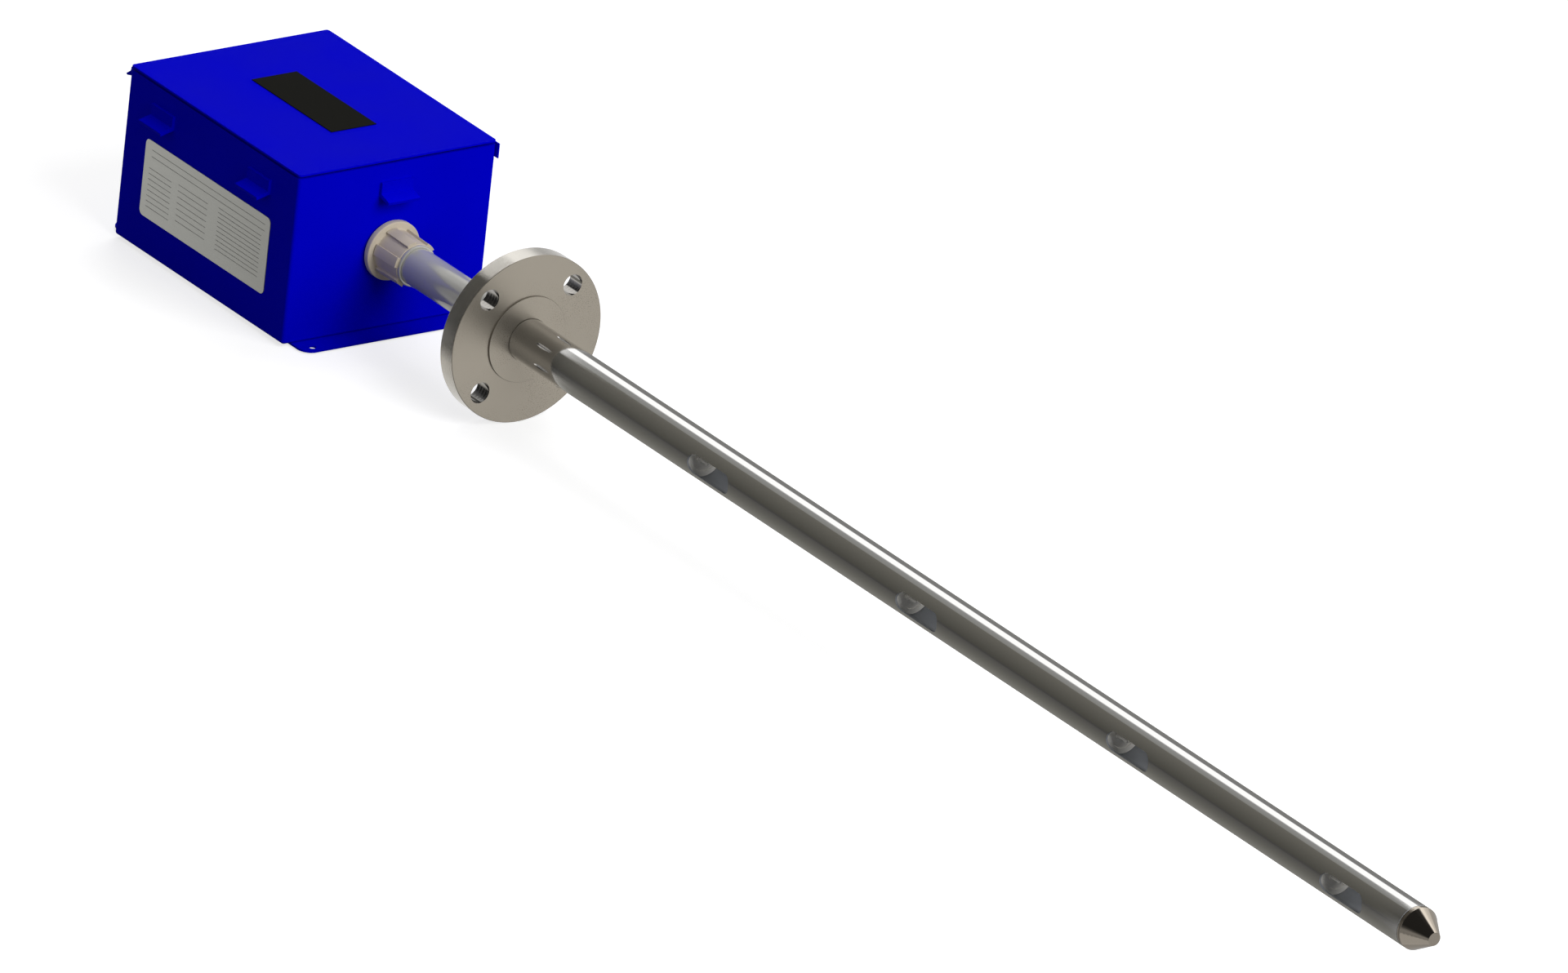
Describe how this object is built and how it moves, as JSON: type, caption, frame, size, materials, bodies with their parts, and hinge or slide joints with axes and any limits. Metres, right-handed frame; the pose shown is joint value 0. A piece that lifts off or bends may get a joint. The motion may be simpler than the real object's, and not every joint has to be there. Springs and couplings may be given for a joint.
{
  "type": "insertion thermal mass flow meter",
  "caption": "Insertion thermal mass flow meter: long polished probe tube with sensing windows, bolted process flange, conduit hub and a hinged sheet-steel electronics enclosure.",
  "frame": {"origin": "centre of the process flange's bolting face, on the probe's axis", "axes": "+X along the probe to its tip, +Y to the enclosure's hinged side, +Z to the enclosure's lid"},
  "size_m": [1.7952, 0.2217, 0.1602],
  "materials": {
    "blue_paint": "semi-gloss powder coat",
    "gasket_rubber": "matte",
    "black_plate": "satin black",
    "pin_steel": "drawn",
    "silver_plate": "satin",
    "cast_hub": "plated casting",
    "seal_rubber": "matte",
    "polished_steel": "mirror-polished stainless",
    "flange_steel": "machined",
    "sensor_steel": "machined stainless",
    "key_plastic": "satin",
    "lead_jacket": "matte",
    "zinc_plated": "zinc plated",
    "panel_paint": "white enamel",
    "board_green": "solder mask",
    "display_black": "matte",
    "supply_case": "satin",
    "terminal_plastic": "satin",
    "lug_copper": "bare"
  },
  "bodies": {
    "housing": {"enclosure_body": "blue_paint", "front_mounting_foot": "blue_paint", "rear_mounting_foot": "blue_paint", "hinge_body_leaf": "blue_paint", "rear_drip_rail": "blue_paint", "side_clamp_bracket_rear": "blue_paint", "side_clamp_bracket_front": "blue_paint", "front_clamp_bracket": "blue_paint", "rear_clamp_bracket": "blue_paint", "hinge_pin": "pin_steel", "rating_plate": "silver_plate", "conduit_hub": "cast_hub", "hub_locknut": "cast_hub", "hub_seal": "seal_rubber", "pipe_collar": "polished_steel", "extension_pipe": "polished_steel", "sensor_tube": "polished_steel", "end_cap": "polished_steel", "process_flange": "flange_steel", "lead_tube": "sensor_steel", "sensor_bulkhead_1": "sensor_steel", "closing_bulkhead_1": "sensor_steel", "heated_sting_1": "sensor_steel", "reference_sting_1": "sensor_steel", "sensor_bulkhead_2": "sensor_steel", "closing_bulkhead_2": "sensor_steel", "heated_sting_2": "sensor_steel", "reference_sting_2": "sensor_steel", "sensor_bulkhead_3": "sensor_steel", "closing_bulkhead_3": "sensor_steel", "heated_sting_3": "sensor_steel", "reference_sting_3": "sensor_steel", "sensor_bulkhead_4": "sensor_steel", "closing_bulkhead_4": "sensor_steel", "heated_sting_4": "sensor_steel", "reference_sting_4": "sensor_steel", "lead_harness": "lead_jacket", "panel_studs": "zinc_plated", "panel_nuts": "zinc_plated", "board_standoffs": "zinc_plated", "sub_panel": "panel_paint", "main_board": "board_green", "bridge_boards": "board_green", "display_module": "display_black", "key_switches": "display_black", "power_supply": "supply_case", "signal_terminals": "terminal_plastic", "power_terminals": "terminal_plastic", "ground_lug": "lug_copper"},
    "lid": {"lid": "blue_paint", "hinge_lid_leaf": "blue_paint", "lid_gasket": "gasket_rubber", "lid_plate": "black_plate"},
    "menu_key_1": {"menu_key_1": "key_plastic"},
    "menu_key_2": {"menu_key_2": "key_plastic"},
    "menu_key_3": {"menu_key_3": "key_plastic"},
    "menu_key_4": {"menu_key_4": "key_plastic"}
  },
  "joints": [
    {"name": "lid_hinge", "type": "hinge", "parent": "housing", "child": "lid", "pos_m": [-0.3317, 0.10365, 0.0794], "axis": [-1, 0, 0], "range_deg": [0, 178]},
    {"name": "menu_key_1_press", "type": "slide", "parent": "housing", "child": "menu_key_1", "axis": [0, 0, -1], "range_m": [0, 0.001], "stiffness_N_per_m": 300},
    {"name": "menu_key_2_press", "type": "slide", "parent": "housing", "child": "menu_key_2", "axis": [0, 0, -1], "range_m": [0, 0.001], "stiffness_N_per_m": 300},
    {"name": "menu_key_3_press", "type": "slide", "parent": "housing", "child": "menu_key_3", "axis": [0, 0, -1], "range_m": [0, 0.001], "stiffness_N_per_m": 300},
    {"name": "menu_key_4_press", "type": "slide", "parent": "housing", "child": "menu_key_4", "axis": [0, 0, -1], "range_m": [0, 0.001], "stiffness_N_per_m": 300}
  ]
}
